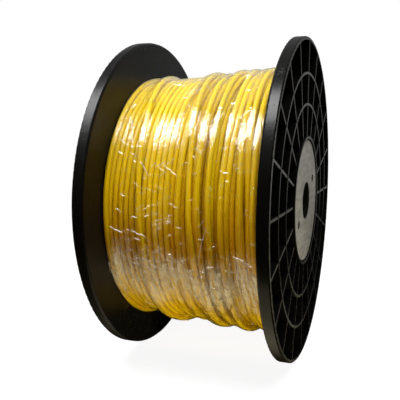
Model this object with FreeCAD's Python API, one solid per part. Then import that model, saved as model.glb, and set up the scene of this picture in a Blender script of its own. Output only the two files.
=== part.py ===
"""Wire spool: two ribbed plastic flanges clamped on a hollow barrel by four tie bolts, a hub plate set in
each flange's collar over the bolt ends, a tube lining the shaft bore, and a full winding of insulated wire
under a wrap of clear film.

Millimetres. +Y is the spool's axis and +Z is up. The origin is the centre of the bore, midway between the
flanges. "near" is the flange at +Y and "far" is its mirror image at -Y.
"""
import FreeCAD
import Part

import math
import os

from FreeCAD import Vector

# ---- driving dimensions -------------------------------------------------------------------------------
FLANGE_RADIUS = 150.0
RIM_FACE_Y = 81.0  # the outer plane of the rim
FLANGE_THICKNESS = 10.4
BARREL_RADIUS = 76.0
BORE_RADIUS = 17.0

# ---- flange -------------------------------------------------------------------------------------------
RIM_WALL = 3.0
RIM_OUTER_ROUND = 1.2
RIM_INNER_ROUND = 2.0
WEB_THICKNESS = 2.6
RING_RIB_RADII = (89.8, 117.8)
RING_RIB_DROP = 0.2  # how far the ring ribs' edges lie below the rim's plane
RADIAL_RIB_DROP = 0.6  # and the radial ribs' edges
RIB_TOP = 2.2  # thickness of every rib at its outer edge
RIB_ROOT = 2.6  # and where it meets the web, so that the moulding draws out of its tool
RADIAL_RIBS = 20
FIRST_RIB_DEG = 1.3
COLLAR_RADIUS = 60.4
COLLAR_WALL = 2.8
COLLAR_PROUD = 1.2  # how far the collar stands out past the rim's plane
COLLAR_ROUND = 0.5
SEAT_THICKENING = 1.8  # extra web behind the groove that takes the barrel's end
SEAT_MARGIN = 3.0

INNER_FACE_Y = RIM_FACE_Y - FLANGE_THICKNESS
WEB_Y = INNER_FACE_Y + WEB_THICKNESS
COLLAR_BORE = COLLAR_RADIUS - COLLAR_WALL
COLLAR_FACE_Y = RIM_FACE_Y + COLLAR_PROUD
FLOOR_Y = 70.0  # outer side of the floor inside the collar
FLOOR_BACK_Y = 66.0

# ---- barrel, and the groove and spigot that hold its ends ---------------------------------------------
BARREL_WALL = 4.0
BARREL_BORE = BARREL_RADIUS - BARREL_WALL
GROOVE_DEPTH = 1.2
GROOVE_GAP = 0.1
SPIGOT_WALL = 4.8
SPIGOT_LENGTH = 8.0
SPIGOT_GAP = 0.2
BARREL_RIBS = 8
BARREL_RIB_HEIGHT = 6.0
BARREL_RIB_THICKNESS = 2.5
BARREL_RIB_END_GAP = 1.0

# ---- hub plate, level with the rim's plane --------------------------------------------------------------
PLATE_FACE_Y = RIM_FACE_Y
PLATE_THICKNESS = 3.4
PLATE_BACK_Y = PLATE_FACE_Y - PLATE_THICKNESS
PLATE_EDGE_RADIUS = 57.0
PLATE_EDGE_ROUND = 0.8
SKIRT_RADIUS = 57.5
SKIRT_WALL = 3.1
SHOULDER_DEPTH = 3.0  # below the plate's face, where its edge steps out to the skirt
BOSS_RADIUS = 24.0
BOSS_END_Y = 64.0
BOSS_HOLE_RADIUS = 24.2
BORE_CHAMFER = 0.6
SEAT_GAP = 0.1

# ---- arbor tube, held in a socket in each hub plate's boss ----------------------------------------------
TUBE_RADIUS = 20.0
SOCKET_RADIUS = 20.05
SOCKET_Y = 70.0

# ---- drive holes --------------------------------------------------------------------------------------
DRIVE_HOLES = 2
DRIVE_HOLE_RADIUS = 3.9
DRIVE_CIRCLE_RADIUS = 38.0
DRIVE_ANGLE_DEG = 62.0
DRIVE_BOSS_RADIUS = 7.5
DRIVE_CLEAR_RADIUS = 4.2

# ---- tie bolts, M6 ------------------------------------------------------------------------------------
BOLTS = 4
BOLT_CIRCLE_RADIUS = 46.0
BOLT_ANGLE_DEG = DRIVE_ANGLE_DEG + 45.0
BOLT_RADIUS = 3.0
BOLT_HOLE_RADIUS = 3.3
BOLT_HEAD_HEIGHT = 4.0
NUT_HEIGHT = 5.0
NUT_BORE = 3.05
HEX_ACROSS_FLATS = 10.0
BOLT_END_PROUD = 0.6
WASHER_RADIUS = 6.0
WASHER_BORE = 3.2
WASHER_THICKNESS = 1.6

# ---- winding and film ---------------------------------------------------------------------------------
WINDING_RADII = (115.0, 119.6, 123.6)  # at the far flange, halfway, and at the near flange
OUTER_TURNS_DEPTH = 12.0
WINDING_END_GAP = 0.1
FILM_GAP = 0.05
FILM_THICKNESS = 0.35

AXIS = Vector(0, 1, 0)
ORIGIN = Vector(0, 0, 0)
OVERRUN = 1.0  # how far a cutting tool runs past the solid, or a rib's end into its neighbour


def around(angle_deg, radius, y):
    """The point at an angle from +Z, clockwise to someone who faces the near flange."""
    angle = math.radians(angle_deg)
    return Vector(-radius * math.sin(angle), y, radius * math.cos(angle))


def evenly(count, first_deg):
    """count angles in degrees, evenly spaced round the axis."""
    return [first_deg + i * 360.0 / count for i in range(count)]


def disc(radius, low_y, high_y, angle_deg=0.0, circle_radius=0.0):
    """A solid cylinder along the axis, centred at one place on a circle."""
    return Part.makeCylinder(radius, high_y - low_y, around(angle_deg, circle_radius, low_y), AXIS)


def ring(outer, inner, low_y, high_y, angle_deg=0.0, circle_radius=0.0):
    """A cylinder with a hole through it."""
    hole = disc(inner, low_y - OVERRUN, high_y + OVERRUN, angle_deg, circle_radius)
    return disc(outer, low_y, high_y, angle_deg, circle_radius).cut(hole)


def outline(*steps):
    """A closed wire from points (radius, y). A step of three numbers is a corner rounded to its third."""
    corners = [(Vector(step[0], step[1], 0), step[2] if len(step) > 2 else 0.0) for step in steps]
    ends = []
    for i, (point, rounding) in enumerate(corners):
        if not rounding:
            ends.append((point, None, point))
            continue
        before = (corners[i - 1][0] - point).normalize()
        after = (corners[(i + 1) % len(corners)][0] - point).normalize()
        half = before.getAngle(after) / 2
        reach = rounding / math.tan(half)
        middle = (before + after).normalize() * (rounding / math.sin(half) - rounding)
        ends.append((point + before * reach, point + middle, point + after * reach))
    edges = []
    for i, (start, middle, end) in enumerate(ends):
        if middle:
            edges.append(Part.Arc(start, middle, end).toShape())
        following = ends[(i + 1) % len(ends)][0]
        edges.append(Part.LineSegment(end, following).toShape())
    return Part.Wire(edges)


def revolved(wire):
    """The solid that a closed (radius, y) wire sweeps round the axis."""
    return Part.Face(wire).revolve(ORIGIN, AXIS, 360)


def ring_rib_steps(radius):
    """One ring rib's outline, from its outer foot over its edge to its inner foot."""
    edge_y = RIM_FACE_Y - RING_RIB_DROP
    return [
        (radius + RIB_ROOT / 2, WEB_Y),
        (radius + RIB_TOP / 2, edge_y),
        (radius - RIB_TOP / 2, edge_y),
        (radius - RIB_ROOT / 2, WEB_Y),
    ]


def flange_body():
    """Rim, web, ring ribs, collar, floor, barrel groove and spigot, as one turned shape."""
    spigot = BARREL_BORE - SPIGOT_GAP
    spigot_end_y = INNER_FACE_Y - SPIGOT_LENGTH
    groove_y = INNER_FACE_Y + GROOVE_DEPTH
    seat_radius = BARREL_RADIUS + SEAT_MARGIN
    rim_inside = FLANGE_RADIUS - RIM_WALL
    steps = [
        (BOSS_HOLE_RADIUS, FLOOR_BACK_Y),
        (COLLAR_RADIUS, FLOOR_BACK_Y),
        (COLLAR_RADIUS, INNER_FACE_Y),
        (spigot - SPIGOT_WALL, INNER_FACE_Y),
        (spigot - SPIGOT_WALL, spigot_end_y),
        (spigot, spigot_end_y),
        (spigot, groove_y),
        (BARREL_RADIUS + GROOVE_GAP, groove_y),
        (BARREL_RADIUS + GROOVE_GAP, INNER_FACE_Y),
        (FLANGE_RADIUS, INNER_FACE_Y, RIM_INNER_ROUND),
        (FLANGE_RADIUS, RIM_FACE_Y, RIM_OUTER_ROUND),
        (rim_inside, RIM_FACE_Y),
        (rim_inside, WEB_Y),
    ]
    for radius in reversed(RING_RIB_RADII):
        steps += ring_rib_steps(radius)
    steps += [
        (seat_radius, WEB_Y),
        (seat_radius, WEB_Y + SEAT_THICKENING),
        (COLLAR_RADIUS, WEB_Y + SEAT_THICKENING),
        (COLLAR_RADIUS, COLLAR_FACE_Y, COLLAR_ROUND),
        (COLLAR_BORE, COLLAR_FACE_Y, COLLAR_ROUND),
        (COLLAR_BORE, FLOOR_Y),
        (BOSS_HOLE_RADIUS, FLOOR_Y),
    ]
    return revolved(outline(*steps))


def radial_rib(angle_deg):
    """One tapered rib from the collar to the rim, its ends buried in both."""
    inner = COLLAR_RADIUS - OVERRUN
    outer = FLANGE_RADIUS - RIM_WALL + OVERRUN
    foot_y = WEB_Y - OVERRUN
    edge_y = RIM_FACE_Y - RADIAL_RIB_DROP
    corners = [
        Vector(-RIB_ROOT / 2, foot_y, inner),
        Vector(RIB_ROOT / 2, foot_y, inner),
        Vector(RIB_TOP / 2, edge_y, inner),
        Vector(-RIB_TOP / 2, edge_y, inner),
    ]
    section = Part.Face(Part.makePolygon(corners + corners[:1]))
    rib = section.extrude(Vector(0, 0, outer - inner))
    rib.rotate(ORIGIN, AXIS, -angle_deg)
    return rib


def flange():
    ribs = [radial_rib(angle) for angle in evenly(RADIAL_RIBS, FIRST_RIB_DEG)]
    low, high = FLOOR_BACK_Y - OVERRUN, FLOOR_Y + OVERRUN
    holes = [disc(BOLT_HOLE_RADIUS, low, high, a, BOLT_CIRCLE_RADIUS) for a in evenly(BOLTS, BOLT_ANGLE_DEG)]
    for angle in evenly(DRIVE_HOLES, DRIVE_ANGLE_DEG):
        holes.append(disc(DRIVE_CLEAR_RADIUS, low, high, angle, DRIVE_CIRCLE_RADIUS))
    return flange_body().multiFuse(ribs).cut(Part.makeCompound(holes)).removeSplitter()


def hub_plate():
    """The plate with its skirt, its bored boss for the shaft and a bored boss for each drive pin."""
    floor_top = FLOOR_Y + SEAT_GAP
    skirt_inside = SKIRT_RADIUS - SKIRT_WALL
    shoulder_y = PLATE_FACE_Y - SHOULDER_DEPTH
    plate = revolved(outline(
        (BORE_RADIUS, SOCKET_Y),
        (SOCKET_RADIUS, SOCKET_Y),
        (SOCKET_RADIUS, BOSS_END_Y),
        (BOSS_RADIUS, BOSS_END_Y),
        (BOSS_RADIUS, PLATE_BACK_Y),
        (skirt_inside, PLATE_BACK_Y),
        (skirt_inside, floor_top),
        (SKIRT_RADIUS, floor_top),
        (SKIRT_RADIUS, shoulder_y),
        (PLATE_EDGE_RADIUS, shoulder_y),
        (PLATE_EDGE_RADIUS, PLATE_FACE_Y, PLATE_EDGE_ROUND),
        (BORE_RADIUS + BORE_CHAMFER, PLATE_FACE_Y),
        (BORE_RADIUS, PLATE_FACE_Y - BORE_CHAMFER),
    ))
    drives = evenly(DRIVE_HOLES, DRIVE_ANGLE_DEG)
    buried_y = PLATE_BACK_Y + OVERRUN
    bosses = [disc(DRIVE_BOSS_RADIUS, floor_top, buried_y, a, DRIVE_CIRCLE_RADIUS) for a in drives]
    low, high = floor_top - OVERRUN, PLATE_FACE_Y + OVERRUN
    holes = [disc(DRIVE_HOLE_RADIUS, low, high, a, DRIVE_CIRCLE_RADIUS) for a in drives]
    return plate.multiFuse(bosses).cut(Part.makeCompound(holes)).removeSplitter()


def barrel():
    """The drum that the wire is wound on, stiffened inside by ribs that stop short of the spigots."""
    half_length = INNER_FACE_Y + GROOVE_DEPTH - SEAT_GAP
    rib_half_length = INNER_FACE_Y - SPIGOT_LENGTH - BARREL_RIB_END_GAP
    shell = ring(BARREL_RADIUS, BARREL_BORE, -half_length, half_length)
    corner = Vector(-BARREL_RIB_THICKNESS / 2, -rib_half_length, BARREL_BORE - BARREL_RIB_HEIGHT)
    ribs = []
    for angle in evenly(BARREL_RIBS, FIRST_RIB_DEG):
        height = BARREL_RIB_HEIGHT + OVERRUN
        rib = Part.makeBox(BARREL_RIB_THICKNESS, 2 * rib_half_length, height, corner)
        rib.rotate(ORIGIN, AXIS, -angle)
        ribs.append(rib)
    return shell.multiFuse(ribs).removeSplitter()


def arbor_tube():
    half_length = SOCKET_Y - SEAT_GAP
    return ring(TUBE_RADIUS, BORE_RADIUS, -half_length, half_length)


def hexagon(low_y, high_y, angle_deg):
    """A hexagonal prism along the axis, at one place on the bolt circle."""
    centre = around(angle_deg, BOLT_CIRCLE_RADIUS, low_y)
    corner_radius = HEX_ACROSS_FLATS / math.sqrt(3)
    corners = []
    for turn in range(0, 361, 60):
        angle = math.radians(turn)
        corners.append(centre + Vector(corner_radius * math.cos(angle), 0, corner_radius * math.sin(angle)))
    return Part.Face(Part.makePolygon(corners)).extrude(AXIS * (high_y - low_y))


def tie_bolt(angle_deg):
    """A bolt right through the spool, its head at the near side."""
    head_y = FLOOR_Y + WASHER_THICKNESS
    end_y = -(FLOOR_Y + WASHER_THICKNESS + NUT_HEIGHT + BOLT_END_PROUD)
    shank = disc(BOLT_RADIUS, end_y, head_y + OVERRUN, angle_deg, BOLT_CIRCLE_RADIUS)
    return shank.fuse(hexagon(head_y, head_y + BOLT_HEAD_HEIGHT, angle_deg)).removeSplitter()


def tie_nut(angle_deg):
    inner_y = -(FLOOR_Y + WASHER_THICKNESS)
    outer_y = inner_y - NUT_HEIGHT
    hole = disc(NUT_BORE, outer_y - OVERRUN, inner_y + OVERRUN, angle_deg, BOLT_CIRCLE_RADIUS)
    return hexagon(outer_y, inner_y, angle_deg).cut(hole)


def washer(angle_deg):
    outer_y = FLOOR_Y + WASHER_THICKNESS
    return ring(WASHER_RADIUS, WASHER_BORE, FLOOR_Y, outer_y, angle_deg, BOLT_CIRCLE_RADIUS)


def crown(offset):
    """The edge that a layer's surface follows between the flanges, at a height above the winding's top."""
    end_y = INNER_FACE_Y - WINDING_END_GAP
    far, middle, near = [radius + offset for radius in WINDING_RADII]
    return Part.Arc(Vector(far, -end_y, 0), Vector(middle, 0, 0), Vector(near, end_y, 0)).toShape()


def layer(outer, inner):
    """The ring between two edges that both run from the far flange to the near one."""
    sides = []
    for end in (0, 1):
        sides.append(Part.LineSegment(inner.Vertexes[end].Point, outer.Vertexes[end].Point).toShape())
    return revolved(Part.Wire(Part.__sortEdges__([outer, inner] + sides)))


def wire_inner_turns():
    """The layers of wire that the outer turns hide, down to the barrel."""
    radius = BARREL_RADIUS + GROOVE_GAP
    end_y = INNER_FACE_Y - WINDING_END_GAP
    foot = Part.LineSegment(Vector(radius, -end_y, 0), Vector(radius, end_y, 0)).toShape()
    return layer(crown(-OUTER_TURNS_DEPTH), foot)


def wire_outer_turns():
    return layer(crown(0.0), crown(-OUTER_TURNS_DEPTH))


def film_wrap():
    return layer(crown(FILM_GAP + FILM_THICKNESS), crown(FILM_GAP))


def mirrored(shape):
    """The far side's copy of a near-side piece."""
    return shape.mirror(ORIGIN, AXIS)


def pieces():
    near_flange = flange()
    near_plate = hub_plate()
    nodes = {
        "near_flange": near_flange,
        "far_flange": mirrored(near_flange),
        "barrel": barrel(),
        "arbor_tube": arbor_tube(),
        "near_hub_plate": near_plate,
        "far_hub_plate": mirrored(near_plate),
        "wire_inner_turns": wire_inner_turns(),
        "wire_outer_turns": wire_outer_turns(),
        "film_wrap": film_wrap(),
    }
    for number, angle in enumerate(evenly(BOLTS, BOLT_ANGLE_DEG), start=1):
        nodes[f"tie_bolt_{number}"] = tie_bolt(angle)
        nodes[f"tie_nut_{number}"] = tie_nut(angle)
        nodes[f"near_washer_{number}"] = washer(angle)
        nodes[f"far_washer_{number}"] = mirrored(washer(angle))
    return nodes


def main():
    os.makedirs("parts", exist_ok=True)
    for name, shape in pieces().items():
        print(f"{name}: {len(shape.Solids)} solid, valid {shape.isValid()}, {shape.Volume / 1000:.2f} cm3")
        shape.exportStep(f"parts/{name}.step")


if __name__ == "__main__":
    main()
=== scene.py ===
"""A full spool of insulated wire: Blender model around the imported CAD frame."""
import math

import bpy
import numpy as np
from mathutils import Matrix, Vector


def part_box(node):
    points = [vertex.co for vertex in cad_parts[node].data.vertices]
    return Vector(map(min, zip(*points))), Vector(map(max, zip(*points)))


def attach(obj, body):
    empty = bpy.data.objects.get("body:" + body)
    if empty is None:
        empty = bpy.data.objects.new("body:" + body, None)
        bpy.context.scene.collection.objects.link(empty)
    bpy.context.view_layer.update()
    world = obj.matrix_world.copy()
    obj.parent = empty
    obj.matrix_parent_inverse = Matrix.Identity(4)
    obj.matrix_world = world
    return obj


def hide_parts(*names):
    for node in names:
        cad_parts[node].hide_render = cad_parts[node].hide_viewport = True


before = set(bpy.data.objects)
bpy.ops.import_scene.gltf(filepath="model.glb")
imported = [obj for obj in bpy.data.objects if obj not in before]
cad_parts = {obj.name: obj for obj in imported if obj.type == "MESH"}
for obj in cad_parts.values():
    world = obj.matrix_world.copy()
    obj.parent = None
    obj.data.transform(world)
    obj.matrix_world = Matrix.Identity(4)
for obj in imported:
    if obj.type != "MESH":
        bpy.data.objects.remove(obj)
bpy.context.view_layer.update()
MM = 0.001

# The axis of the spool is Y; an angle about it is counted from +X towards +Z.
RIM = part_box("near_flange")[1].z
FLOOR_Z = -RIM
WOUND_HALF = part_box("wire_outer_turns")[1].y / MM

# ---------------------------------------------------------------- camera

CAMERA_AT = Vector((3.6972, 1.17087, 0.52941)) * RIM
CAMERA_LOOKS = Vector((-0.93063, -0.33754, -0.14138))
CAMERA_LENS = 53.25


def make_camera():
    data = bpy.data.cameras.new("camera")
    data.lens = CAMERA_LENS
    data.sensor_width = 36
    data.clip_start = 0.01
    camera = bpy.data.objects.new("camera", data)
    camera.location = CAMERA_AT
    camera.rotation_euler = CAMERA_LOOKS.to_track_quat("-Z", "Y").to_euler()
    bpy.context.collection.objects.link(camera)
    bpy.context.scene.camera = camera


# ---------------------------------------------------------------- smooth random fields

LATTICE = 64


def lattice(seed):
    return np.random.default_rng(seed).random((LATTICE, LATTICE)) * 2 - 1


def ease(t):
    t = np.clip(t, 0.0, 1.0)
    return t * t * (3 - 2 * t)


def field(u, v, seed, wrap_u=None):
    """Smooth noise from -1 to 1, one lattice cell per unit, periodic in u after wrap_u cells."""
    grid = lattice(seed)
    u, v = np.broadcast_arrays(np.asarray(u, float), np.asarray(v, float))
    iu, iv = np.floor(u).astype(int), np.floor(v).astype(int)
    fu, fv = ease(u - iu), ease(v - iv)
    across = wrap_u or LATTICE
    u0, u1 = iu % across % LATTICE, (iu + 1) % across % LATTICE
    v0, v1 = iv % LATTICE, (iv + 1) % LATTICE
    low = grid[u0, v0] * (1 - fu) + grid[u1, v0] * fu
    high = grid[u0, v1] * (1 - fu) + grid[u1, v1] * fu
    return low * (1 - fv) + high * fv


def blur(a, sigma):
    """Gaussian blur of a row of numbers, with the ends held."""
    reach = max(1, int(3 * sigma))
    kernel = np.exp(-0.5 * (np.arange(-reach, reach + 1) / sigma) ** 2)
    kernel /= kernel.sum()
    padded = np.concatenate([np.full(reach, a[0]), a, np.full(reach, a[-1])])
    return np.convolve(padded, kernel, mode="valid")


# ---------------------------------------------------------------- the winding

# Lengths are in mm. Every turn starts at the back of the spool, at the angle SEAM.
WIRE_R = 2.35
OD = 2 * WIRE_R
SAMPLES = 180
STEP = 2 * math.pi / SAMPLES
LOOK_AHEAD = 24  # samples of a turn over which it joins the one before
SEAM = math.pi
SIDES = 10
END_GAP = 0.15  # between a flange and what is wound
EDGE = WOUND_HALF - WIRE_R - END_GAP
WINDING_AT = (-WOUND_HALF, 0.0, WOUND_HALF)
WINDING_RADII = (115.0, 119.6, 121.4)
STACK = 9.6  # depth of the visible layers
SAG = 2.0  # how far the winding hangs down from the axis
NEAR_SAG = 0.3  # the share of that at the near flange
BRIDGE = 0.0165 * (math.degrees(STEP)) ** 2  # the drop that the wire's stiffness allows
BRIDGE_REACH = 22  # samples

# How a turn finds its place: rounds, mm to each side it feels, slope that counts, pull, blur.
SETTLE_ROUNDS, PROBE, MOST_SLOPE, PULL, LAY_BLUR = 14, 0.4, 1.5, 0.06, 2.5
# The drift of the turns: (waves in a turn, mm along the axis, start there, share).
DRIFTS = [(5, 26.0, 7, 1.0), (11, 9.0, 3, 0.45)]
# Each layer's (seed, mm) of drift, and how readily its turns slip sideways.
LOWER_DRIFT, LOWER_SETTLE = (11, 1.1), 0.12
UPPER_DRIFT, UPPER_SETTLE = (23, 2.0), 0.2
CROSSING_BLUR, CROSSING_SETTLE = 5.0, 0.03

LOWER_TURNS = 29
# The second layer hurries across the near half and lies closely on the far half:
# (turn, share of EDGE).
UPPER_PACE = [(0, 1.0), (5, 0.12), (6, -0.15), (17, -1.0)]
UPPER_TURNS = UPPER_PACE[-1][0] + 1
# Part of it leans over: where along the axis, half how wide and by how much, and the degrees
# wound at which the lean is full, starts to go, and is gone.
LEAN_AT, LEAN_HALF, LEAN = -18.0, 15.0, 3.2
LEAN_FULL, LEAN_FROM, LEAN_TO = 60, 104.0, 142.0
# The last wire laid: (turn, degrees wound since the back of the spool, mm along the axis).
CROSSING = [
    (0, 0, -66), (0, 60, -61), (0, 97, -53), (0, 110, -49.5), (0, 125, -44.5), (0, 140, -40.5),
    (0, 160, -38.5), (0, 183, -35.5), (0, 240, -31), (0, 320, -20), (1, 20, -11), (1, 80, -4.5),
    (1, 100, -2), (1, 120, 0.3), (1, 140, 2.5), (1, 160, 5.5), (1, 180, 9), (1, 196, 12),
    (1, 220, 13.8), (1, 260, 13), (1, 330, 8), (2, 50, 4.5), (2, 85, 5.5), (2, 97, 8),
    (2, 107, 12), (2, 130, 14.5), (2, 150, 14.3), (2, 170, 15), (2, 190, 16.4), (2, 240, 17.5),
    (2, 330, 21), (3, 60, 24.5), (3, 110, 26), (3, 125, 25.3), (3, 145, 23.6), (3, 165, 24.1),
    (3, 190, 25.8), (3, 225, 28.5), (3, 245, 27), (3, 330, 28), (4, 60, 29.5), (4, 97, 33),
    (4, 110, 35.5), (4, 125, 36.8), (4, 140, 37), (4, 160, 34.5), (4, 175, 34), (4, 190, 35.2),
    (4, 210, 37.4), (4, 250, 38.5), (4, 330, 40), (5, 60, 43), (5, 110, 44.5), (5, 135, 45.4),
    (5, 150, 47.7), (5, 170, 51.3), (5, 190, 53.2), (5, 230, 54), (5, 330, 52), (6, 60, 50),
    (6, 110, 51.5), (6, 130, 52.9), (6, 150, 53.9), (6, 180, 56.5), (6, 200, 58.6), (6, 250, 60),
    (6, 330, 60), (7, 60, 58.5), (7, 110, 58), (7, 150, 60), (7, 180, 62), (7, 300, 66),
]


def winding_radius(y):
    return np.interp(y, WINDING_AT, WINDING_RADII)


def wander(t, y, seed, size):
    """The drift that neighbouring turns share, fading out at the flanges."""
    calm = 1 - (np.abs(y) / EDGE) ** 4
    drift = 0.0
    for number, (waves, length, start, share) in enumerate(DRIFTS):
        wave = field(t / (2 * math.pi) * waves, y / length + start, seed + number, wrap_u=waves)
        drift = drift + share * wave
    return size * np.clip(calm, 0, 1) * drift


def leaning(t, y):
    """The lean of part of the second layer: it starts at the back and is gone by LEAN_TO."""
    degrees = np.degrees(t) % 360
    inside = np.clip(1 - ((y - LEAN_AT) / LEAN_HALF) ** 2, 0, 1)
    going = ease((degrees - LEAN_FROM) / (LEAN_TO - LEAN_FROM))
    return LEAN * inside * ease(degrees / LEAN_FULL) * (1 - going)


class Winding:
    """Turns laid one after another, each resting on what is under it."""

    def __init__(self):
        self.y = []
        self.r = []
        self.shift = 0.0

    def resting(self, y, index):
        """The least radius at which a wire at y clears what is under it."""
        sag = SAG * np.interp(y, (0, WOUND_HALF), (1, NEAR_SAG))
        best = winding_radius(y) - STACK + WIRE_R - sag * np.sin(SEAM - index * STEP)
        if self.y:
            ys, rs = np.array(self.y)[:, index], np.array(self.r)[:, index]
            gap = np.abs(ys - y)
            touch = np.where(gap < OD, rs + np.sqrt(np.maximum(OD**2 - gap**2, 0)), 0)
            best = np.maximum(best, touch.max(0))
        return best

    def lay(self, wish, settle):
        """Lay one turn: wish is its wanted place along the axis, with LOOK_AHEAD samples more,
        and settle is how readily it slips sideways into a dip."""
        count = len(wish)
        index = np.arange(count) % SAMPLES
        y = wish.copy()
        for _ in range(SETTLE_ROUNDS):
            rise = self.resting(y + PROBE, index) - self.resting(y - PROBE, index)
            slope = rise / (2 * PROBE)
            y = y - settle * np.clip(slope, -MOST_SLOPE, MOST_SLOPE) + PULL * (wish - y)
            y = np.clip(blur(y, LAY_BLUR), -EDGE, EDGE)
        start = ease(np.arange(count) / LOOK_AHEAD)
        y = wish + (y - wish) * start + self.shift * (1 - start)
        self.shift = y[SAMPLES] - wish[SAMPLES]
        r = self.resting(y, index)
        if self.r:
            held = self.r[-1][-1] - BRIDGE * np.arange(count) ** 2
            r = np.maximum(r, held)
        r = self.stiff(r)
        self.y.append(y[:SAMPLES])
        self.r.append(r[:SAMPLES])

    @staticmethod
    def stiff(r):
        """The wire bridges over dips instead of following them."""
        out = r.copy()
        for gap in range(1, BRIDGE_REACH):
            drop = BRIDGE * gap * gap
            out[gap:] = np.maximum(out[gap:], r[:-gap] - drop)
            out[:-gap] = np.maximum(out[:-gap], r[gap:] - drop)
        return np.maximum(blur(out, 2.0), r * 0.5 + out * 0.5)


def turn_angles(turn):
    return (turn * SAMPLES + np.arange(SAMPLES + LOOK_AHEAD)) * STEP


def wind():
    """All the visible turns, as one wire: their places along the axis and their radii, each
    with a row for every turn, the lower layer's first."""
    w = Winding()
    for k in range(LOWER_TURNS):
        t = turn_angles(k)
        y = -EDGE + 2 * EDGE * np.clip(t / (2 * math.pi) / (LOWER_TURNS - 1), 0, 1)
        w.lay(y + wander(t, y, *LOWER_DRIFT), LOWER_SETTLE)
    pace = np.array(UPPER_PACE)
    for k in range(UPPER_TURNS):
        t = turn_angles(k)
        y = EDGE * np.interp(t / (2 * math.pi), pace[:, 0], pace[:, 1])
        w.lay(y + wander(t, y, *UPPER_DRIFT) + leaning(t, y), UPPER_SETTLE)
    knots = np.array([(turn * 360 + degrees, y) for turn, degrees, y in CROSSING])
    for k in range(CROSSING[-1][0] + 1):
        t = turn_angles(k)
        fine = np.interp(np.degrees(t), knots[:, 0], knots[:, 1])
        w.lay(np.clip(blur(fine, CROSSING_BLUR), -EDGE, EDGE), CROSSING_SETTLE)
    return np.array(w.y), np.array(w.r)


def angles_of(count):
    return SEAM - np.arange(count) * STEP


def tube(name, y, r):
    """A mesh tube along consecutive turns, with its two ends closed."""
    y, r = blur(np.concatenate(y), 1.2), blur(np.concatenate(r), 1.6)
    count = len(y)
    angle = angles_of(count)
    centre = np.stack([r * np.cos(angle), y, r * np.sin(angle)], 1)
    along = np.gradient(centre, axis=0)
    along /= np.linalg.norm(along, axis=1, keepdims=True)
    out = np.stack([np.cos(angle), np.zeros(count), np.sin(angle)], 1)
    side = np.cross(along, out)
    side /= np.linalg.norm(side, axis=1, keepdims=True)
    out = np.cross(side, along)
    round_it = np.arange(SIDES) * 2 * math.pi / SIDES
    ring = (
        centre[:, None]
        + WIRE_R * np.cos(round_it)[None, :, None] * out[:, None]
        + WIRE_R * np.sin(round_it)[None, :, None] * side[:, None]
    )
    points = ring.reshape(-1, 3) * MM
    i = np.arange(count - 1)[:, None] * SIDES
    j = np.arange(SIDES)[None, :]
    k = (j + 1) % SIDES
    quads = np.stack([i + j, i + k, i + k + SIDES, i + j + SIDES], -1).reshape(-1, 4)
    faces = [tuple(q) for q in quads.tolist()]
    faces.append(tuple(range(SIDES - 1, -1, -1)))
    faces.append(tuple(range((count - 1) * SIDES, count * SIDES)))
    return mesh_piece(name, points, faces)


def mesh_piece(name, points, faces, smooth=True):
    mesh = bpy.data.meshes.new(name)
    mesh.from_pydata(points.tolist(), [], faces)
    mesh.update()
    if smooth:
        mesh.polygons.foreach_set("use_smooth", [True] * len(mesh.polygons))
    piece = bpy.data.objects.new(name, mesh)
    bpy.context.collection.objects.link(piece)
    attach(piece, "root")
    return piece


# ---------------------------------------------------------------- the film

FILM_ACROSS, FILM_ALONG, BASE_ACROSS = 188, 452, 380  # points
FILM_START = math.radians(-62)
FILM_SWEEP = math.radians(404)
FILM_HALF = WOUND_HALF - END_GAP
FILM_CLEAR = 0.2
FILM_SAG, FILM_SPAN = 0.07, 9  # its dip beside a crest, along the axis, and the mm it reaches
ROUND_SAG, ROUND_SPAN = 0.022, 14  # the same round the spool, in degrees and samples
# Its end lies on its start: from this share of its length, over this share, it rises by the
# first of these mm, and folds stand up from it by up to the second.
LAP_FROM, LAP_OVER, FILM_LAP, LAP_FOLDS = 0.885, 0.02, 0.5, 0.9
RIPPLE = 0.16  # mm, all over
# Low at the front it is loose: degrees, their spread, and mm.
LOOSE_AT, LOOSE_SPREAD, LOOSE = 318, 26, 0.55
# The end is torn, in degrees: (degrees, mm along the axis between tears, place in the noise, seed).
TEARS = [(6.5, 13.0, 3.3, 41), (3.0, 3.1, 1.7, 42)]
TEAR_FROM, TEAR_OVER = 0.93, 0.07
# and it reaches further on the far half: (degrees, mm from the middle, mm over which it grows).
FAR_END, FAR_END_AT, FAR_END_OVER = 11.0, 24, 30


def film_base(ys, rs):
    """The outside of the winding at each sample angle, as a stretched skin over the crests,
    and the places along the axis that it is given for."""
    across = np.linspace(-FILM_HALF, FILM_HALF, BASE_ACROSS)
    top = np.zeros((SAMPLES, len(across)))
    for i in range(SAMPLES):
        gap = np.abs(across[None] - ys[:, i, None])
        rise = np.sqrt(np.maximum(WIRE_R**2 - gap**2, 0))
        top[i] = np.where(gap < WIRE_R, rs[:, i, None] + rise, 0).max(0)
    pitch = across[1] - across[0]
    skin = top.copy()
    for n in range(1, int(FILM_SPAN / pitch)):
        drop = FILM_SAG * (n * pitch) ** 2
        skin[:, n:] = np.maximum(skin[:, n:], top[:, :-n] - drop)
        skin[:, :-n] = np.maximum(skin[:, :-n], top[:, n:] - drop)
    tight = skin.copy()
    for n in range(1, ROUND_SPAN):
        drop = ROUND_SAG * (n * math.degrees(STEP)) ** 2
        tight = np.maximum(tight, np.roll(skin, n, 0) - drop)
        tight = np.maximum(tight, np.roll(skin, -n, 0) - drop)
    return tight, across


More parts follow.
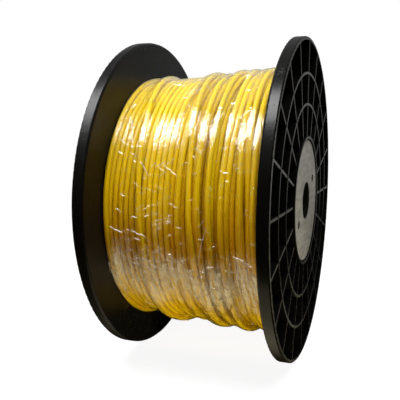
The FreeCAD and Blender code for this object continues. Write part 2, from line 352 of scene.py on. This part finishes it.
def film_height(base, across, angle, y):
    """The skin's radius at any angle and y, both arrays of one shape."""
    place = ((SEAM - angle) / STEP) % SAMPLES
    i = np.floor(place).astype(int)
    f = place - i
    pitch = across[1] - across[0]
    col = np.clip((y - across[0]) / pitch, 0, len(across) - 1.001)
    j = np.floor(col).astype(int)
    g = col - j
    a = base[i % SAMPLES, j] * (1 - g) + base[i % SAMPLES, j + 1] * g
    b = base[(i + 1) % SAMPLES, j] * (1 - g) + base[(i + 1) % SAMPLES, j + 1] * g
    return a * (1 - f) + b * f


def skin_radius(base, across, angle, y, s):
    """The film's radius; s runs from 0 where the film starts to 1 where it ends, on top of
    its own start."""
    lap = ease((s - LAP_FROM) / LAP_OVER)
    r = film_height(base, across, angle, y) + FILM_CLEAR + FILM_LAP * lap
    turn = angle / (2 * math.pi)
    r = r + RIPPLE * field(turn * 40 + y / 9, y / 2.3, 51) * ease((s - 0.02) / 0.03)
    loose = np.exp(-(((np.degrees(angle) % 360) - LOOSE_AT) / LOOSE_SPREAD) ** 2)
    folds = field(turn * 34 + y / 7, y / 4.5 + turn * 60, 52)
    r = r + loose * LOOSE * np.abs(folds)
    end_folds = field(turn * 60 + y / 4, y / 3.0 - turn * 30, 53)
    return r + LAP_FOLDS * lap * np.abs(end_folds) ** 1.5


def make_film(base, across):
    """The film as one sheet, from its start, round the winding, to its torn end."""
    s = np.linspace(0, 1, FILM_ALONG)[:, None]
    y = np.linspace(-FILM_HALF, FILM_HALF, FILM_ACROSS)[None]
    torn = np.radians(sum(size * field(y / apart, at, seed) for size, apart, at, seed in TEARS))
    further = np.radians(FAR_END) * ease((-y - FAR_END_AT) / FAR_END_OVER)
    sweep = FILM_SWEEP + (torn + further) * ease((s - TEAR_FROM) / TEAR_OVER)
    angle = FILM_START + s * sweep
    y = np.broadcast_to(y, angle.shape)
    r = skin_radius(base, across, angle, y, s)
    points = np.stack([r * np.cos(angle), y, r * np.sin(angle)], -1).reshape(-1, 3) * MM
    i = np.arange(FILM_ALONG - 1)[:, None] * FILM_ACROSS
    j = np.arange(FILM_ACROSS - 1)[None]
    quads = np.stack([i + j, i + j + 1, i + j + 1 + FILM_ACROSS, i + j + FILM_ACROSS], -1)
    faces = [tuple(q) for q in quads.reshape(-1, 4).tolist()]
    return mesh_piece("film_wrap_skin", points, faces)


# Creases that stand up from the film:
# (mm wide, [(degrees wound since the back, mm along the axis), ...]).
CREASES = [
    (0.9, [(112, -36), (112.6, -30), (114.5, -22)]),
    (0.8, [(129.5, -64), (129.5, -58)]),
    (0.6, [(131.5, -64), (131, -59)]),
    (0.9, [(136, -62), (139, -58), (143, -55)]),
    (1.3, [(139.5, -60), (140.5, -55)]),
    (1.3, [(142.5, -58), (143.5, -53)]),
    (1.1, [(145.5, -56), (146.5, -51)]),
    (1.0, [(149, -53.5), (150, -49)]),
    (1.0, [(152.5, -51), (153.5, -46.5)]),
    (0.8, [(156, -47), (157, -43)]),
    (0.7, [(159, -44), (160, -40.5)]),
    (0.7, [(159, -38), (161.5, -34), (165.5, -28)]),
    (0.9, [(149.3, -62.5), (151.8, -55)]),
    (0.9, [(154.6, -62), (156.6, -56)]),
    (0.6, [(172.5, -55.5), (174, -49)]),
    (0.6, [(179, -60), (179.3, -55)]),
    (1.3, [(186.6, -64), (187.8, -58), (188.8, -52)]),
    (0.6, [(187.0, -49.5), (187.8, -46)]),
    (0.9, [(186.8, -43.5), (188, -36), (189.6, -28.5)]),
    (0.5, [(190, -41), (191, -34)]),
    (0.5, [(180.8, -41.5), (182, -36)]),
    (0.5, [(160.3, -18), (163, -9), (165.2, -3)]),
    (0.4, [(175.5, -11), (177.5, -1)]),
    (0.8, [(196.6, -13), (196.4, -8.5)]),
    (0.5, [(103, 9), (108.5, 17), (112.5, 23), (115.5, 29.5)]),
    (0.35, [(118.5, 0), (121, 4), (124.5, 9.5)]),
    (0.25, [(120.5, -8), (122, -3), (124, 1)]),
    (0.2, [(126, -13), (123, -6), (126, 0)]),
    (0.8, [(133.5, 31.5), (132.5, 36)]),
    (0.7, [(162.6, 32.5), (163.8, 37), (162.8, 41)]),
    (0.6, [(166, 37.5), (166.3, 41.5)]),
    (0.9, [(194.2, 44.5), (193.8, 49.5), (195.4, 55.5)]),
    (0.7, [(196, 57), (197.2, 62.5)]),
    (0.5, [(199, 15.5), (190, 20), (182.5, 26)]),
    (0.9, [(200, -20), (205, -17), (211, -13.5), (218, -10)]),
    (0.6, [(200.5, -33), (203, -29), (206, -25.5)]),
    (0.6, [(210, -57), (216, -53), (221, -49)]),
    (0.6, [(203, -50), (207, -47)]),
]
# Small ones, at random: (how many, degrees wound, spread, mm along the axis, spread).
CREASE_AREAS = [
    (6, 124, 5, -5, 7), (40, 150, 9, 20, 40), (24, 168, 10, -20, 40), (60, 203, 7, 38, 24),
    (60, 200, 6, -38, 24), (50, 212, 9, -8, 22), (3, 110, 6, 30, 25), (60, 300, 60, 0, 55),
]
SMALL_WIDTH, SMALL_HALF, SMALL_LEAN = (0.1, 0.33), (1.2, 4.5), (-0.45, 0.45)
CREASE_THIN = 0.8  # factor on the widths in CREASES
CREASE_REACH = 60  # mm along the axis that small ones keep within
CREASE_STEP = 0.7
DEGREE_MM = 2.1  # a degree round the winding
# The flat side of each crease faces the angle at which it mirrors the softbox. It turns a
# little with the crease's own angle, varies, and turns aside at places along the axis.
CREASE_FACES, CREASE_TURNS, CREASE_VARIES, CREASE_MOST = 37.0, 0.15, 2.0, 70
CREASE_ASIDE_AT, CREASE_ASIDE = (-60.0, 20.0), (16.0, 0.0)
CREASE_BRIDGE = 0.02  # the drop that a crease's stiffness allows
CREASE_LIFT = 0.15  # mm over the film
CREASE_PROUD = 0.8  # mm more, at most, to clear the film's own crests
CREASE_SINK = 0.2  # mm that its steep foot goes under
LAP_END = -12.0  # degrees; below this the film's end is on top, a turn further on


def make_creases(base, across):
    """Sharp little folds pinched up out of the film: a wide flat side, a steep one, and tapered ends."""
    rng = np.random.default_rng(77)
    lines = [(CREASE_THIN * width, knots) for width, knots in CREASES]
    for count, at, spread, y_at, y_spread in CREASE_AREAS:
        for _ in range(count):
            t, y = at + spread * rng.normal(), y_at + y_spread * rng.uniform(-1, 1)
            half, lean = rng.uniform(*SMALL_HALF), rng.uniform(*SMALL_LEAN)
            y = float(np.clip(y, -CREASE_REACH + half, CREASE_REACH - half))
            ends = [(t - half * lean, y - half), (t + half * lean, y + half)]
            lines.append((rng.uniform(*SMALL_WIDTH), ends))
    points, faces = [], []
    for number, (width, knots) in enumerate(lines):
        knots = np.array(knots, float)
        runs = np.hypot(np.diff(knots[:, 0]) * DEGREE_MM, np.diff(knots[:, 1]))
        arc = np.concatenate([[0], np.cumsum(runs)])
        steps = max(8, int(arc[-1] / CREASE_STEP))
        s = np.linspace(0, arc[-1], steps)
        wiggle = 0.35 * field(s / 2.2, float(number % 60), 61)
        angle = SEAM - np.radians(blur(np.interp(s, arc, knots[:, 0]), 2.0) + wiggle)
        y = blur(np.interp(s, arc, knots[:, 1]), 2.0)
        wound = np.where(np.degrees(angle) < LAP_END, angle + 2 * math.pi, angle)
        skin = skin_radius(base, across, wound, y, (wound - FILM_START) / FILM_SWEEP)
        r = skin.copy()
        # a crease is stiff: it runs straight over the dips between the turns
        for gap in range(1, 7):
            r[gap:] = np.maximum(r[gap:], r[:-gap] - CREASE_BRIDGE * gap * gap)
            r[:-gap] = np.maximum(r[:-gap], r[gap:] - CREASE_BRIDGE * gap * gap)
        r = blur(r, 5.0)
        r += np.clip((skin - r).max(), 0, CREASE_PROUD) + CREASE_LIFT
        up = np.stack([np.cos(angle), np.zeros(steps), np.sin(angle)], 1)
        middle = r[:, None] * up + np.stack([np.zeros(steps), y, np.zeros(steps)], 1)
        jitter = CREASE_VARIES * field(s / 3.0, float(number % 60) + 0.5, 62)
        theta = np.degrees(angle)
        facing = CREASE_FACES + CREASE_TURNS * (CREASE_FACES - theta) + jitter
        facing = np.radians(theta + np.clip(facing - theta, -CREASE_MOST, CREASE_MOST))
        aside = np.radians(np.interp(y, CREASE_ASIDE_AT, CREASE_ASIDE))
        level = np.cos(aside)
        mirror = np.stack([np.cos(facing) * level, np.sin(aside), np.sin(facing) * level], 1)
        flat = np.cross(mirror, np.gradient(middle, axis=0))
        flat /= np.linalg.norm(flat, axis=1, keepdims=True)
        flat *= np.where((flat * up).sum(1) > 0, -1.0, 1.0)[:, None]
        rise = -(flat * up).sum(1)[:, None]
        taper = (np.sin(np.pi * np.linspace(0.04, 0.96, steps)) ** 0.6)[:, None] * width
        crest = middle + up * taper * rise
        flat_foot = crest + flat * taper
        steep_foot = middle - (flat + up * rise) * taper * 0.25 - up * CREASE_SINK
        first = len(points)
        points += np.stack([flat_foot, crest, steep_foot], 1).reshape(-1, 3).tolist()
        for i in range(steps - 1):
            for j in range(2):
                a = first + i * 3 + j
                faces.append((a, a + 1, a + 4, a + 3))
    return mesh_piece("film_creases", np.array(points) * MM, faces, smooth=False)


# ---------------------------------------------------------------- materials

PAINT_RADIUS = 0.12  # metres: about the winding's
OUTWARD = (0.0790, 0.0800)  # metres from the middle, where the flanges' outer faces are, which get the painted sheen
RINGS = (0.0898, 0.1178)  # radii of the ring ribs
RING_EDGE = (0.0016, 0.0022)  # half a ring rib's width, and where the painted highlight on it ends


class Paint:
    """One procedural material, built node by node."""

    def __init__(self, name):
        self.material = bpy.data.materials.new(name)
        self.material.use_nodes = True
        self.tree = self.material.node_tree
        self.tree.nodes.clear()
        self.out = self.tree.nodes.new("ShaderNodeOutputMaterial")
        self.place = self.node("ShaderNodeTexCoord").outputs["Object"]

    def put(self, socket, value):
        if isinstance(value, bpy.types.NodeSocket):
            self.tree.links.new(value, socket)
        else:
            socket.default_value = value

    def node(self, kind, inputs=None, **settings):
        made = self.tree.nodes.new(kind)
        for key, value in settings.items():
            setattr(made, key, value)
        for key, value in (inputs or {}).items():
            self.put(made.inputs[key], value)
        return made

    def math(self, operation, *values, clamp=False):
        made = self.node("ShaderNodeMath", dict(enumerate(values)), operation=operation, use_clamp=clamp)
        return made.outputs[0]

    def stretch(self, scale, turn=(0, 0, 0), place=None):
        return self.node(
            "ShaderNodeMapping", {"Vector": place or self.place, "Scale": scale, "Rotation": turn}
        ).outputs[0]

    def noise(self, scale, detail=4.0, rough=0.55, place=None, distort=0.0):
        return self.node(
            "ShaderNodeTexNoise",
            {
                "Vector": place or self.place,
                "Scale": scale,
                "Detail": detail,
                "Roughness": rough,
                "Distortion": distort,
            },
        ).outputs["Fac"]

    def between(self, value, low, high, to_low=0.0, to_high=1.0):
        return self.node(
            "ShaderNodeMapRange",
            {0: value, 1: low, 2: high, 3: to_low, 4: to_high},
            interpolation_type="SMOOTHSTEP",
        ).outputs[0]

    def blend(self, fac, a, b):
        return self.node("ShaderNodeMix", {0: fac, 6: a, 7: b}, data_type="RGBA").outputs[2]

    def bump(self, height, strength, distance, normal=None):
        inputs = {"Height": height, "Strength": strength, "Distance": distance}
        if normal is not None:
            inputs["Normal"] = normal
        return self.node("ShaderNodeBump", inputs).outputs[0]

    def parts(self, vector):
        return self.node("ShaderNodeSeparateXYZ", {0: vector}).outputs

    def around(self):
        """The angle round the spool's axis, in radians, and the metres along it; and both as
        coordinates on the winding, in metres."""
        parts = self.parts(self.place)
        angle = self.math("ARCTAN2", parts[2], parts[0])
        round_it = self.math("MULTIPLY", angle, PAINT_RADIUS)
        run = self.node("ShaderNodeCombineXYZ", {0: round_it, 1: parts[1], 2: 0.0}).outputs[0]
        return angle, parts[1], run

    def length(self, a, b):
        """The length of the flat vector (a, b)."""
        squares = self.math("MULTIPLY", a, a), self.math("MULTIPLY", b, b)
        return self.math("SQRT", self.math("ADD", *squares))

    def scratches(self, scale, turn, width):
        """Thin wandering lines: level lines of a stretched noise."""
        n = self.noise(1.0, detail=1.0, place=self.stretch(scale, turn))
        off = self.math("ABSOLUTE", self.math("SUBTRACT", n, 0.5))
        return self.between(off, 0.0, width, 1.0, 0.0)

    def surface(self, **inputs):
        shader = self.node("ShaderNodeBsdfPrincipled", inputs)
        self.tree.links.new(shader.outputs[0], self.out.inputs[0])


def grey(value, warm=0.0):
    return (value * (1 + warm), value, value * (1 - warm), 1)


def black_plastic(name, dark, worn, rough, seed, face=None, gloss=0.38, ribs=False):
    """Moulded plastic, clouded, scratched and pitted. Its greys are dark, and worn where it is
    scratched; face is a painted sheen on its outward side, for the light it mirrors there at a grazing
    angle, and with ribs it is a painted highlight, most where they run level."""
    p = Paint(name)
    shift = p.stretch((1, 1, 1))
    shift.node.inputs["Location"].default_value = (seed, seed * 0.7, seed * 0.3)
    cloud = p.noise(9.0, 5.0, place=shift)
    grain = p.noise(900.0, 3.0, place=shift)
    rub = p.between(p.noise(38.0, 6.0, 0.7, place=shift), 0.52, 0.72)
    lines = p.scratches((60, 60, 900), (0.3, 0.2, 0.1), 0.012)
    cross = p.scratches((700, 90, 40), (0.9, 0.4, 0.7), 0.010)
    marks = p.math("MULTIPLY", p.math("MAXIMUM", lines, cross), rub)
    speck = p.between(p.noise(420.0, 2.0, 0.5, place=shift), 0.74, 0.80)
    colour = p.blend(cloud, grey(dark * 0.8), grey(dark * 1.25, 0.03))
    if face is not None:
        # painted sheen: the outward faces of rim, ribs and hub plates are painted the lighter face grey,
        # for the light this black plastic mirrors at a grazing angle
        parts = p.parts(p.place)
        facing = p.parts(p.node("ShaderNodeNewGeometry").outputs["Normal"])
        outer = p.between(p.math("ABSOLUTE", parts[1]), *OUTWARD)
        flat = p.between(p.math("ABSOLUTE", facing[1]), 0.75, 0.95)
        painted_sheen = p.math("MULTIPLY", outer, flat)
        painted_sheen = p.math("MULTIPLY", painted_sheen, p.between(cloud, 0.25, 0.6, 0.6, 1.0))
        # painted highlight: with ribs, the sheen is strongest where a rib runs level and its rounded
        # edge catches the light from above
        if ribs:
            painted_sheen = p.math("MULTIPLY", painted_sheen, painted_rib_highlight(p, parts))
            sheen_grey = grey(face)
        else:
            # on the hub plates the painted sheen is streaked between two greys
            streak_place = p.stretch((60, 60, 240), (0, 0.15, 0), place=shift)
            sheen_streaks = p.between(p.noise(1.0, 6.0, 0.75, place=streak_place), 0.32, 0.68)
            sheen_grey = p.blend(sheen_streaks, grey(face * 0.75, 0.03), grey(face * 1.27, 0.03))
        colour = p.blend(painted_sheen, colour, sheen_grey)
    colour = p.blend(p.math("MULTIPLY", marks, 0.5), colour, grey(worn))
    colour = p.blend(p.math("MULTIPLY", speck, 0.55), colour, grey(worn * 2.2, 0.05))
    roughness = p.math("ADD", p.between(cloud, 0.3, 0.7, rough - 0.05, rough + 0.07),
                       p.math("MULTIPLY", p.math("ADD", marks, speck), 0.2))
    pits = p.math("ADD", p.math("MULTIPLY", grain, 0.5), p.math("MULTIPLY", marks, -0.8))
    pits = p.math("ADD", pits, p.math("MULTIPLY", p.noise(130.0, 3.0, place=shift), 0.8))
    p.surface(**{
        "Base Color": colour,
        "Roughness": roughness,
        "Specular IOR Level": gloss,
        "Normal": p.bump(pits, 0.22, 0.0004),
    })
    return p.material


def painted_rib_highlight(p, parts):
    """A painted highlight on the ribs: lightest where a rib runs level, on the rings' tops and bottoms
    and the spokes at the sides, where a rib's rounded edge catches the light from above."""
    radius = p.length(parts[0], parts[2])
    upright = p.math("ABSOLUTE", p.math("DIVIDE", parts[2], radius))
    rings = 0.0
    for ring in RINGS:
        away = p.math("ABSOLUTE", p.math("SUBTRACT", radius, ring))
        rings = p.math("MAXIMUM", rings, p.between(away, *RING_EDGE, 1.0, 0.0))
    on_ring = p.between(upright, 0.25, 0.9, 0.30, 0.85)
    on_spoke = p.between(upright, 0.25, 0.75, 1.30, 0.40)
    return p.node("ShaderNodeMix", {0: rings, 2: on_spoke, 3: on_ring}).outputs[0]


def wire_plastic(name, turns=False):
    """Yellow insulation, a little uneven and dusty; turns adds the waves of turns as bump."""
    p = Paint(name)
    _angle, along, run = p.around()
    tone = p.noise(1.0, 3.0, place=p.stretch((18, 130, 1), place=run))
    dirt = p.between(p.noise(1.0, 5.0, 0.7, place=p.stretch((60, 260, 1), place=run)), 0.58, 0.78)
    colour = p.blend(tone, (0.80, 0.582, 0.001, 1), (0.92, 0.706, 0.002, 1))
    colour = p.blend(p.math("MULTIPLY", dirt, 0.2), colour, (0.42, 0.25, 0.003, 1))
    fine = p.noise(700.0, 3.0)
    height = fine
    if turns:
        wave = p.math("ABSOLUTE", p.math("SINE", p.math("MULTIPLY", along, math.pi / (OD * MM))))
        height = p.math("ADD", p.math("MULTIPLY", fine, 0.05), p.math("MULTIPLY", wave, 6.0))
    p.surface(**{
        "Base Color": colour,
        "Roughness": p.between(tone, 0.2, 0.8, 0.30, 0.42),
        "Specular IOR Level": 0.4,
        "Normal": p.bump(height, 0.12, 0.0003),
    })
    return p.material


def clear_film(name, wrinkled=True):
    """Stretch film: clear, mirrored by its gloss, and milky by its haze. The creases' own
    film isn't wrinkled, and is milkier and duller."""
    p = Paint(name)
    angle, _along, run = p.around()
    # wrinkles: fine creases that mostly run round the spool, a few across it
    fine = p.noise(1.0, 4.0, 0.6, place=p.stretch((90, 620, 1), place=run), distort=0.4)
    slant = p.noise(1.0, 3.0, 0.6, place=p.stretch((150, 420, 1), (0, 0, 0.5), place=run), distort=0.8)
    if wrinkled:
        slope = p.stretch((55, 26, 1), (0, 0, -0.35), place=run)
        crease = p.noise(1.0, 2.0, 0.5, place=slope, distort=1.6)
        ridge = p.between(p.math("ABSOLUTE", p.math("SUBTRACT", crease, 0.5)), 0.0, 0.012, 1.0, 0.0)
        patch = p.between(p.noise(1.0, 2.0, place=p.stretch((16, 22, 1), place=run)), 0.45, 0.62)
        height = p.math("ADD", p.math("MULTIPLY", fine, 0.7), p.math("MULTIPLY", slant, 0.5))
        normal = p.bump(height, 0.65, 0.0010)
        normal = p.bump(p.math("MULTIPLY", ridge, patch), 1.0, 0.0010, normal)
    else:
        normal = p.bump(slant, 0.1, 0.0002)
    # haze, milky film where layers lie loose on each other: in shreds low at the front, over the top,
    # and a little behind, where the two ends of the angle meet at one level; over the top it is also a
    # painted sheen, standing in for the softbox's glare at grazing angles; edge is the angle in degrees,
    # made ragged
    degrees = p.math("MULTIPLY", angle, 180 / math.pi)
    edge = p.math("ADD", degrees, p.math("MULTIPLY", p.math("SUBTRACT", slant, 0.5), 22.0))
    wide = p.math("SUBTRACT", p.noise(28.0, 1.0), 0.5)
    edge = p.math("ADD", edge, p.math("MULTIPLY", wide, 30.0))
    under = p.math("MULTIPLY", p.between(edge, -47.0, -26.0), p.between(edge, -16.5, -19.5))
    # painted sheen in part: milk over the top, where the softbox's glare shows
    top = p.between(edge, 42.0, 50.0, 0.0, 0.08)
    top = p.math("ADD", top, p.between(edge, 60.0, 80.0, 0.0, 0.24))
    top = p.math("ADD", top, p.between(edge, 105.0, 150.0, 0.0, -0.23))
    back = p.between(edge, -75.0, -110.0, 0.0, 0.09)
    streak = p.between(fine, 0.36, 0.62, 0.45, 1.0)
    slope = p.stretch((34, 300, 1), (0, 0, 0.28), place=run)
    shreds = p.between(p.noise(1.0, 4.0, 0.65, place=slope), 0.38, 0.62, 0.0, 2.0)
    haze = p.math("MULTIPLY", p.math("MULTIPLY", under, shreds), 0.27)
    haze = p.math("ADD", haze, p.math("ADD", top, back))
    haze = p.math("MULTIPLY", haze, streak) if wrinkled else 0.7
    shine = p.node("ShaderNodeFresnel", {"IOR": 1.5, "Normal": normal}).outputs[0]
    uneven = p.between(fine, 0.36, 0.62, 0.7, 1.8) if wrinkled else 2.6
    shine = p.math("MULTIPLY", shine, uneven, clamp=True)
    # light on its way to the wire isn't mirrored off
    lamp = p.node("ShaderNodeLightPath").outputs["Is Shadow Ray"]
    shine = p.math("MULTIPLY", shine, p.math("SUBTRACT", 1.0, lamp))
    shader = p.node("ShaderNodeBsdfPrincipled", {
        "Base Color": (0.95, 0.95, 0.95, 1),
        "Metallic": 1.0,
        "Roughness": 0.05 if wrinkled else 0.22,
        "Normal": normal,
    })
    milk = p.node("ShaderNodeBsdfPrincipled", {
        "Base Color": (0.88, 0.85, 0.77, 1),
        "Roughness": 0.3,
        "Normal": normal,
    })
    clear = p.node("ShaderNodeBsdfTransparent", {"Color": (0.985, 0.985, 0.98, 1)})
    glaze = p.node("ShaderNodeMixShader", {0: shine, 1: clear.outputs[0], 2: shader.outputs[0]})
    both = p.node("ShaderNodeMixShader", {0: haze, 1: glaze.outputs[0], 2: milk.outputs[0]})
    p.tree.links.new(both.outputs[0], p.out.inputs[0])
    return p.material


def zinc(name):
    p = Paint(name)
    spangle = p.noise(260.0, 4.0, 0.6)
    colour = p.blend(spangle, (0.42, 0.41, 0.38, 1), (0.66, 0.65, 0.60, 1))
    p.surface(**{
        "Base Color": colour,
        "Metallic": 1.0,
        "Roughness": p.between(spangle, 0.3, 0.7, 0.28, 0.48),
        "Normal": p.bump(p.noise(1200.0, 2.0), 0.1, 0.0002),
    })
    return p.material


def give(node, material):
    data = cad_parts[node]
    if not data.material_slots:
        data.data.materials.append(material)
    for slot in data.material_slots:
        slot.material = material


# ---------------------------------------------------------------- room

FRONT = Vector((CAMERA_AT.x, CAMERA_AT.y, 0)).normalized()
BACKDROP_LIGHT, BACKDROP_GLOSS = 0.22, 0.27  # the light of the room behind, and its reflection
FRONT_LEVEL, HIGH_LEVEL = 0.006, 0.13  # of the room in front, low and high
PAPER_GREY, PAPER_GLOW = 0.25, 0.92
BOARD_LIFT = 0.0004


def make_board(name, x, y, fade, level, colour):
    """A board on the floor from x[0] to x[1] and y[0] to y[1], which isn't seen itself and glows, its
    light standing in for the lit floor's; its edges at x[0] and y[0] fade out, a painted shadow of the
    spool."""
    (behind, ahead), (right, left) = x, y
    z = FLOOR_Z + BOARD_LIFT
    points = [(behind, right, z), (ahead, right, z), (ahead, left, z), (behind, left, z)]
    mesh = bpy.data.meshes.new(name)
    mesh.from_pydata(points, [], [(0, 1, 2, 3)])
    board = bpy.data.objects.new(name, mesh)
    bpy.context.collection.objects.link(board)
    board.visible_camera = False
    board.visible_shadow = False
    p = Paint(name + "_paper")
    parts = p.parts(p.place)
    top = p.math("SUBTRACT", 1.0, p.node("ShaderNodeNewGeometry").outputs["Backfacing"])
    glow = p.node("ShaderNodeEmission", {"Color": colour, "Strength": p.math("MULTIPLY", top, level)})
    clear = p.node("ShaderNodeBsdfTransparent")
    # painted shadow: the glow fades out towards x[0] and y[0], where the spool's shadow would fall
    inside = p.math("MULTIPLY", p.between(parts[0], behind, behind + fade),
                    p.between(parts[1], right, right + fade))
    faded = p.node("ShaderNodeMixShader", {0: inside, 1: clear.outputs[0], 2: glow.outputs[0]})
    p.tree.links.new(faded.outputs[0], p.out.inputs[0])
    mesh.materials.append(p.material)
    return board


def make_boards():
    """What the floor sends back: one board for its reflection, and one for its light."""
    mirrored = make_board("board_seen_in_gloss", (0.062, 0.230), (-0.115, 0.075), fade=0.055,
                          level=1.35, colour=(1.0, 0.91, 0.60, 1))
    mirrored.visible_diffuse = False
    bounce = make_board("board_bounce", (0.0, 0.20), (-0.30, 0.30), fade=0.05,
                        level=2.0, colour=(1.0, 0.87, 0.50, 1))
    bounce.visible_glossy = False


def make_floor():
    """A round paper floor that fades out into the backdrop."""
    rings, spokes, reach = 24, 96, 1.5
    radius = reach * (np.arange(rings + 1) / rings) ** 1.5
    turn = np.arange(spokes) * 2 * math.pi / spokes
    points = [(0.0, 0.0, FLOOR_Z)]
    for r in radius[1:]:
        points += [(r * math.cos(a), r * math.sin(a), FLOOR_Z) for a in turn]
    faces = [(0, 1 + i, 1 + (i + 1) % spokes) for i in range(spokes)]
    for k in range(rings - 1):
        a, b = 1 + k * spokes, 1 + (k + 1) * spokes
        faces += [(a + i, b + i, b + (i + 1) % spokes, a + (i + 1) % spokes) for i in range(spokes)]
    mesh = bpy.data.meshes.new("floor")
    mesh.from_pydata(points, [], faces)
    floor = bpy.data.objects.new("floor", mesh)
    bpy.context.collection.objects.link(floor)
    floor.visible_diffuse = False
    p = Paint("floor_paper")
    parts = p.parts(p.place)
    far = p.length(parts[0], parts[1])
    paper = p.node("ShaderNodeBsdfDiffuse", {"Color": grey(PAPER_GREY)})
    glow = p.node("ShaderNodeEmission", {"Color": (1, 1, 1, 1), "Strength": PAPER_GLOW})
    lit = p.node("ShaderNodeAddShader", {0: paper.outputs[0], 1: glow.outputs[0]})
    # in reflections it's dark: the spool shades it, and the boards stand for what light it sends back
    shade = p.node("ShaderNodeEmission", {"Color": (0, 0, 0, 1), "Strength": 0.0})
    mirrored = p.node("ShaderNodeLightPath").outputs["Is Glossy Ray"]
    face = p.node("ShaderNodeMixShader", {0: mirrored, 1: lit.outputs[0], 2: shade.outputs[0]})
    clear = p.node("ShaderNodeBsdfTransparent")
    seen_fade, mirrored_fade = p.between(far, 0.35, 1.3), p.between(far, 0.7, 1.4)
    gone = p.node("ShaderNodeMix", {0: mirrored, 2: seen_fade, 3: mirrored_fade})
    fade = p.node("ShaderNodeMixShader", {0: gone.outputs[0], 1: face.outputs[0], 2: clear.outputs[0]})
    p.tree.links.new(fade.outputs[0], p.out.inputs[0])
    mesh.materials.append(p.material)


def make_world():
    """A white backdrop; as light and in reflections it is grey behind, and dark in front."""
    world = bpy.data.worlds.new("studio")
    bpy.context.scene.world = world
    world.use_nodes = True
    tree = world.node_tree
    tree.nodes.clear()
    p = Paint.__new__(Paint)
    p.tree = tree
    p.out = p.node("ShaderNodeOutputWorld")
    way = p.node("ShaderNodeTexCoord").outputs["Generated"]
    parts = p.parts(way)
    ahead = p.math("ADD", p.math("MULTIPLY", parts[0], FRONT.x),
                   p.math("MULTIPLY", parts[1], FRONT.y))
    front = p.between(ahead, -0.35, 0.15)
    rays = p.node("ShaderNodeLightPath").outputs
    back = p.node("ShaderNodeMix", {
        0: rays["Is Glossy Ray"], 2: BACKDROP_LIGHT, 3: BACKDROP_GLOSS,
    }).outputs[0]
    high = p.between(parts[2], 0.30, 0.70, FRONT_LEVEL, HIGH_LEVEL)
    level = p.node("ShaderNodeMix", {0: front, 2: back, 3: high}).outputs[0]
    level = p.node("ShaderNodeMix", {0: rays["Is Camera Ray"], 2: level, 3: 1.0}).outputs[0]
    sky = p.node("ShaderNodeBackground", {"Color": (1, 1, 1, 1), "Strength": level})
    tree.links.new(sky.outputs[0], p.out.inputs[0])


def softbox(name, place, aim, size, watts, colour=(1, 1, 1)):
    """An area light at place that shines at aim; sizes are metres along X and Y."""
    data = bpy.data.lights.new(name, "AREA")
    data.shape = "RECTANGLE"
    data.size, data.size_y = size
    data.energy = watts
    data.color = colour
    light = bpy.data.objects.new(name, data)
    light.location = place
    light.rotation_euler = (Vector(aim) - Vector(place)).to_track_quat("-Z", "X").to_euler()
    bpy.context.collection.objects.link(light)
    return light


def make_lights():
    """One large softbox overhead, whose light and reflection are set apart, and a warm
    reflector in front."""
    middle = (0.0, 0.0, 0.0)
    key = softbox("softbox_top", (0.29, 0.0, 1.12), middle, (0.46, 1.7), 22.5, (0.95, 1.0, 0.96))
    key.visible_glossy = False
    shine = softbox("softbox_top_shine", (0.46, -0.45, 1.095), (0.0, -0.45, 0.0), (0.44, 0.9), 32.0)
    shine.visible_diffuse = False
    warm = softbox("reflector_front", (1.3, 0.0, 0.0), middle, (0.7, 0.9), 2.6, (1.0, 0.48, 0.16))
    warm.visible_glossy = False


# ---------------------------------------------------------------- all of it

make_camera()
make_world()
make_floor()
make_boards()
make_lights()

turns_y, turns_r = wind()
yellow = wire_plastic("yellow_insulation")
lower = tube("wire_lower_layer", turns_y[:LOWER_TURNS], turns_r[:LOWER_TURNS])
upper = tube("wire_upper_layer", turns_y[LOWER_TURNS:], turns_r[LOWER_TURNS:])
for piece in (lower, upper):
    piece.data.materials.append(yellow)
    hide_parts("wire_outer_turns")

film_under, film_across = film_base(turns_y, turns_r)
film = make_film(film_under, film_across)
creases = make_creases(film_under, film_across)
film.data.materials.append(clear_film("stretch_film"))
creases.data.materials.append(clear_film("creased_film", wrinkled=False))
for piece in (film, creases):
    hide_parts("film_wrap")

for node, seed in (("near_flange", 1.0), ("far_flange", 4.0)):
    give(node, black_plastic(node + "_plastic", dark=0.004, worn=0.05, rough=0.26, seed=seed,
                             face=0.15, gloss=0.15, ribs=True))
for node, seed in (("near_hub_plate", 7.0), ("far_hub_plate", 9.0)):
    give(node, black_plastic(node + "_plastic", dark=0.006, worn=0.30, rough=0.45, seed=seed,
                             face=0.50))
for node, seed in (("arbor_tube", 12.0), ("barrel", 14.0)):
    give(node, black_plastic(node + "_plastic", dark=0.004, worn=0.05, rough=0.35, seed=seed))
give("wire_inner_turns", wire_plastic("yellow_inner_turns", turns=True))
steel = zinc("zinc_steel")
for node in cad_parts:
    if node.startswith(("tie_", "near_washer", "far_washer")):
        give(node, steel)

scene = bpy.context.scene
scene.view_settings.view_transform = "Standard"
scene.view_settings.look = "None"
scene.view_settings.exposure = 0.0
scene.view_settings.gamma = 1.0
